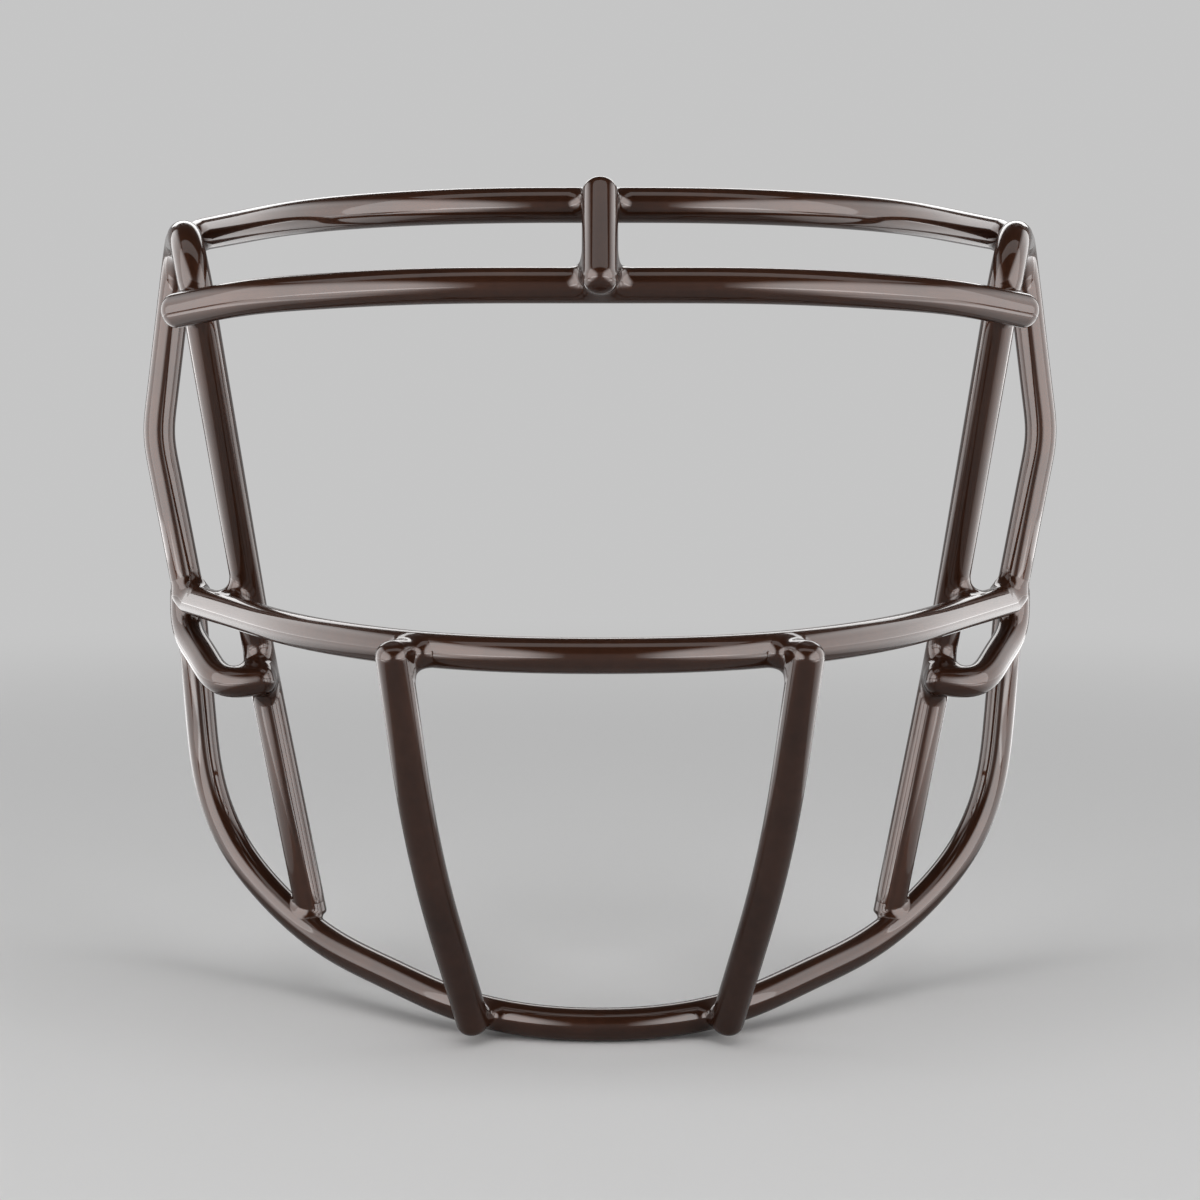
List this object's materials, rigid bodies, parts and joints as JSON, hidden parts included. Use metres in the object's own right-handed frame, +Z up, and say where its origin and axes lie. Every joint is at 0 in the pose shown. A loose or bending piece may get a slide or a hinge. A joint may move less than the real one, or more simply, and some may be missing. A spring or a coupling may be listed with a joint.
{
  "type": "football helmet facemask",
  "caption": "Welded round-wire face guard for a football helmet: brow, mouth and jaw bars, side hoops, chin uprights and clip loops under a thick glossy brown coating.",
  "frame": {"origin": "middle of the footprint, on the surface that the mask stands on", "axes": "+X across the face to the right-hand side of a viewer who faces the mask, +Y from the front of the mask to its rear, where the helmet is, +Z up"},
  "size_m": [0.22, 0.1142, 0.1937],
  "materials": {
    "gloss_coating": "gloss"
  },
  "bodies": {
    "root": {"top_brow_bar": "gloss_coating", "lower_brow_bar": "gloss_coating", "centre_post": "gloss_coating", "mid_bar": "gloss_coating", "jaw_bar": "gloss_coating", "side_hoop_right": "gloss_coating", "side_hoop_left": "gloss_coating", "clip_loop_right": "gloss_coating", "clip_loop_left": "gloss_coating", "chin_upright_right": "gloss_coating", "chin_upright_left": "gloss_coating", "post_top_weld": "gloss_coating", "post_foot_weld": "gloss_coating", "crown_welds": "gloss_coating", "brow_end_welds": "gloss_coating", "upright_mid_welds": "gloss_coating", "cheek_welds": "gloss_coating", "loop_hook_welds": "gloss_coating", "upright_foot_welds": "gloss_coating", "chin_top_welds": "gloss_coating", "chin_foot_welds": "gloss_coating"}
  },
  "joints": []
}
